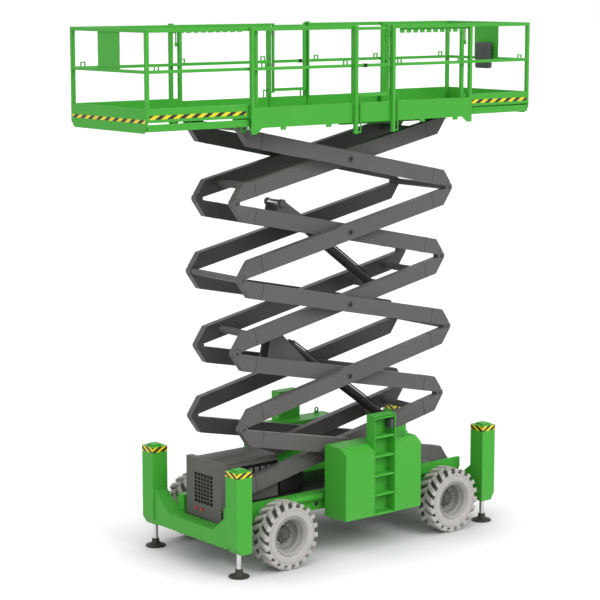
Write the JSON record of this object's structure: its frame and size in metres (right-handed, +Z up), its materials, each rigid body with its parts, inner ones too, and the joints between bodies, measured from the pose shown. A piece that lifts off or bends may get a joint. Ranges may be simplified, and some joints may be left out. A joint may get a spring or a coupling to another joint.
{
  "type": "rough-terrain electric scissor lift",
  "caption": "Wheeled work platform with sliding deck ends and guardrails, raised by a crossed-arm stack and cylinders, steered at one end, with outrigger jacks.",
  "frame": {"origin": "middle of the machine's box on the floor, Z = 0 where wheels and feet stand", "axes": "+X to the steered end, +Y to the left side, +Z up"},
  "size_m": [6.17, 2.13, 6.6208],
  "materials": {
    "green_paint": "bright green gloss paint on steel",
    "grey_paint": "dark grey satin paint on steel",
    "dark_grey_paint": "charcoal satin paint on sheet steel",
    "tyre": "light grey non-marking rubber",
    "rim": "light grey paint on pressed steel",
    "chrome": "ground hard chrome",
    "black_iron": "black painted casting",
    "steel": "machined steel",
    "red_lens": "clear red plastic",
    "dark_plastic": "moulded dark grey plastic",
    "battery": "closed battery cases"
  },
  "bodies": {
    "chassis": {"chassis_frame": "green_paint", "slide_tracks": "green_paint", "rear_outrigger_frame": "green_paint", "front_outrigger_frame": "green_paint", "left_side_hood": "green_paint", "right_side_hood": "green_paint", "left_ladder": "green_paint", "right_ladder": "green_paint", "power_pack_cover": "dark_grey_paint", "power_pack_lamps": "red_lens", "battery_pack": "battery", "rear_axle": "dark_grey_paint", "front_axle": "dark_grey_paint"},
    "left_steer": {"left_knuckle": "dark_grey_paint"},
    "right_steer": {"right_knuckle": "dark_grey_paint"},
    "steering_link": {"tie_rod": "steel"},
    "lower_slides": {"lower_slide_blocks": "steel"},
    "upper_slides": {"upper_slide_blocks": "steel"},
    "platform": {"main_deck": "green_paint", "left_guardrail": "green_paint", "right_guardrail": "green_paint"},
    "left_gate_body": {"left_gate": "green_paint"},
    "right_gate_body": {"right_gate": "green_paint"},
    "rear_extension": {"rear_extension_deck": "green_paint", "rear_extension_rails": "green_paint"},
    "front_extension": {"front_extension_deck": "green_paint", "front_extension_rails": "green_paint", "control_box": "dark_plastic"},
    "rear_left_wheel": {"rear_left_tyre": "tyre", "rear_left_rim": "rim"},
    "rear_right_wheel": {"rear_right_tyre": "tyre", "rear_right_rim": "rim"},
    "front_left_wheel": {"front_left_tyre": "tyre", "front_left_rim": "rim"},
    "front_right_wheel": {"front_right_tyre": "tyre", "front_right_rim": "rim"},
    "rear_left_outrigger": {"rear_left_leg": "chrome", "rear_left_foot": "black_iron"},
    "rear_right_outrigger": {"rear_right_leg": "chrome", "rear_right_foot": "black_iron"},
    "front_left_outrigger": {"front_left_leg": "chrome", "front_left_foot": "black_iron"},
    "front_right_outrigger": {"front_right_leg": "chrome", "front_right_foot": "black_iron"},
    "inner_1": {"inner_frame_1": "grey_paint"},
    "outer_1": {"outer_frame_1": "grey_paint"},
    "inner_2": {"inner_frame_2": "grey_paint"},
    "outer_2": {"outer_frame_2": "grey_paint"},
    "inner_3": {"inner_frame_3": "grey_paint"},
    "outer_3": {"outer_frame_3": "grey_paint"},
    "inner_4": {"inner_frame_4": "grey_paint"},
    "outer_4": {"outer_frame_4": "grey_paint"},
    "inner_5": {"inner_frame_5": "grey_paint"},
    "outer_5": {"outer_frame_5": "grey_paint"},
    "lower_barrel": {"lower_cylinder_barrel": "dark_grey_paint"},
    "lower_rod": {"lower_cylinder_rod": "chrome"},
    "upper_barrel": {"upper_cylinder_barrel": "dark_grey_paint"},
    "upper_rod": {"upper_cylinder_rod": "chrome"}
  },
  "joints": [
    {"name": "rear_left_wheel_spin", "type": "hinge", "parent": "chassis", "child": "rear_left_wheel", "pos_m": [-1.185, 0.915, 0.42], "axis": [0, 1, 0], "continuous": true},
    {"name": "rear_right_wheel_spin", "type": "hinge", "parent": "chassis", "child": "rear_right_wheel", "pos_m": [-1.185, -0.915, 0.42], "axis": [0, 1, 0], "continuous": true},
    {"name": "front_left_wheel_spin", "type": "hinge", "parent": "left_steer", "child": "front_left_wheel", "pos_m": [1.555, 0.915, 0.42], "axis": [0, 1, 0], "continuous": true},
    {"name": "front_right_wheel_spin", "type": "hinge", "parent": "right_steer", "child": "front_right_wheel", "pos_m": [1.555, -0.915, 0.42], "axis": [0, 1, 0], "continuous": true},
    {"name": "steer", "type": "hinge", "parent": "chassis", "child": "right_steer", "pos_m": [1.555, -0.69, 0.42], "axis": [0, 0, 1], "range_deg": [-25, 25]},
    {"name": "steer_left", "type": "hinge", "parent": "chassis", "child": "left_steer", "pos_m": [1.555, 0.69, 0.42], "axis": [0, 0, 1], "range_deg": [-26, 26]},
    {"name": "tie_rod_pivot", "type": "hinge", "parent": "right_steer", "child": "steering_link", "pos_m": [1.365, -0.69, 0.42], "axis": [0, 0, 1], "range_deg": [-26, 26]},
    {"name": "rear_left_outrigger_slide", "type": "slide", "parent": "chassis", "child": "rear_left_outrigger", "axis": [0, 0, -1], "range_m": [-0.165, 0.25]},
    {"name": "rear_right_outrigger_slide", "type": "slide", "parent": "chassis", "child": "rear_right_outrigger", "axis": [0, 0, -1], "range_m": [-0.165, 0.25]},
    {"name": "front_left_outrigger_slide", "type": "slide", "parent": "chassis", "child": "front_left_outrigger", "axis": [0, 0, -1], "range_m": [-0.165, 0.25]},
    {"name": "front_right_outrigger_slide", "type": "slide", "parent": "chassis", "child": "front_right_outrigger", "axis": [0, 0, -1], "range_m": [-0.165, 0.25]},
    {"name": "lift", "type": "hinge", "parent": "chassis", "child": "inner_1", "pos_m": [-1.53, 0, 0.803], "axis": [0, -1, 0], "range_deg": [-11.75, 43.6]},
    {"name": "centre_pivot_1", "type": "hinge", "parent": "inner_1", "child": "outer_1", "pos_m": [0.16891, 0, 1.26458], "axis": [0, -1, 0], "range_deg": [-87.7, 24]},
    {"name": "inner_pivot_2", "type": "hinge", "parent": "inner_1", "child": "inner_2", "pos_m": [1.86782, 0, 1.72617], "axis": [0, -1, 0], "range_deg": [-87.7, 24]},
    {"name": "centre_pivot_2", "type": "hinge", "parent": "inner_2", "child": "outer_2", "pos_m": [0.16891, 0, 2.18775], "axis": [0, -1, 0], "range_deg": [-24, 87.7]},
    {"name": "inner_pivot_3", "type": "hinge", "parent": "inner_2", "child": "inner_3", "pos_m": [-1.53, 0, 2.64934], "axis": [0, -1, 0], "range_deg": [-24, 87.7]},
    {"name": "centre_pivot_3", "type": "hinge", "parent": "inner_3", "child": "outer_3", "pos_m": [0.16891, 0, 3.11092], "axis": [0, -1, 0], "range_deg": [-87.7, 24]},
    {"name": "inner_pivot_4", "type": "hinge", "parent": "inner_3", "child": "inner_4", "pos_m": [1.86782, 0, 3.5725], "axis": [0, -1, 0], "range_deg": [-87.7, 24]},
    {"name": "centre_pivot_4", "type": "hinge", "parent": "inner_4", "child": "outer_4", "pos_m": [0.16891, 0, 4.03409], "axis": [0, -1, 0], "range_deg": [-24, 87.7]},
    {"name": "inner_pivot_5", "type": "hinge", "parent": "inner_4", "child": "inner_5", "pos_m": [-1.53, 0, 4.49567], "axis": [0, -1, 0], "range_deg": [-24, 87.7]},
    {"name": "centre_pivot_5", "type": "hinge", "parent": "inner_5", "child": "outer_5", "pos_m": [0.16891, 0, 4.95726], "axis": [0, -1, 0], "range_deg": [-87.7, 24]},
    {"name": "platform_pivot", "type": "hinge", "parent": "outer_5", "child": "platform", "pos_m": [-1.53, 0, 5.41884], "axis": [0, -1, 0], "range_deg": [-12.25, 44.1]},
    {"name": "lower_slide_pivot", "type": "hinge", "parent": "outer_1", "child": "lower_slides", "pos_m": [1.86782, 0, 0.803], "axis": [0, -1, 0], "range_deg": [-12.25, 44.1]},
    {"name": "upper_slide_pivot", "type": "hinge", "parent": "inner_5", "child": "upper_slides", "pos_m": [1.86782, 0, 5.41884], "axis": [0, -1, 0], "range_deg": [-44.1, 12.25]},
    {"name": "lower_cylinder_pivot", "type": "hinge", "parent": "inner_1", "child": "lower_barrel", "pos_m": [1.22057, 0, 1.43018], "axis": [0, -1, 0], "range_deg": [-87.7, 24]},
    {"name": "lower_rod_slide", "type": "slide", "parent": "lower_barrel", "child": "lower_rod", "axis": [-0.8122, 0, 0.5833], "range_m": [-0.26261, 0.94751]},
    {"name": "upper_cylinder_pivot", "type": "hinge", "parent": "inner_3", "child": "upper_barrel", "pos_m": [1.02023, 0, 3.21953], "axis": [0, -1, 0], "range_deg": [-94.68, 25.88]},
    {"name": "upper_rod_slide", "type": "slide", "parent": "upper_barrel", "child": "upper_rod", "axis": [-0.8037, 0, 0.5951], "range_m": [-0.29193, 1.05632]},
    {"name": "rear_extension_slide", "type": "slide", "parent": "platform", "child": "rear_extension", "axis": [-1, 0, 0], "range_m": [-1.39, 0]},
    {"name": "front_extension_slide", "type": "slide", "parent": "platform", "child": "front_extension", "axis": [1, 0, 0], "range_m": [-1.02, 0]},
    {"name": "left_gate_hinge", "type": "hinge", "parent": "platform", "child": "left_gate_body", "pos_m": [0.03, 0.824, 5.54184], "axis": [0, 0, -1], "range_deg": [0, 90]},
    {"name": "right_gate_hinge", "type": "hinge", "parent": "platform", "child": "right_gate_body", "pos_m": [0.552, -0.824, 5.54184], "axis": [0, 0, -1], "range_deg": [0, 90]}
  ],
  "couplings": [
    {"joint": "steer_left", "follows": "steer", "ratio": 1},
    {"joint": "tie_rod_pivot", "follows": "steer", "ratio": -1},
    {"joint": "centre_pivot_1", "follows": "lift", "ratio": -2},
    {"joint": "inner_pivot_2", "follows": "lift", "ratio": -2},
    {"joint": "centre_pivot_2", "follows": "lift", "ratio": 2},
    {"joint": "inner_pivot_3", "follows": "lift", "ratio": 2},
    {"joint": "centre_pivot_3", "follows": "lift", "ratio": -2},
    {"joint": "inner_pivot_4", "follows": "lift", "ratio": -2},
    {"joint": "centre_pivot_4", "follows": "lift", "ratio": 2},
    {"joint": "inner_pivot_5", "follows": "lift", "ratio": 2},
    {"joint": "centre_pivot_5", "follows": "lift", "ratio": -2},
    {"joint": "platform_pivot", "follows": "lift", "ratio": 1},
    {"joint": "lower_slide_pivot", "follows": "lift", "ratio": 1},
    {"joint": "upper_slide_pivot", "follows": "lift", "ratio": -1},
    {"joint": "lower_cylinder_pivot", "follows": "lift", "ratio": -2},
    {"joint": "lower_rod_slide", "follows": "lift", "m_per_rad": 1.232},
    {"joint": "upper_cylinder_pivot", "follows": "lift", "ratio": -2.16},
    {"joint": "upper_rod_slide", "follows": "lift", "m_per_rad": 1.375}
  ]
}
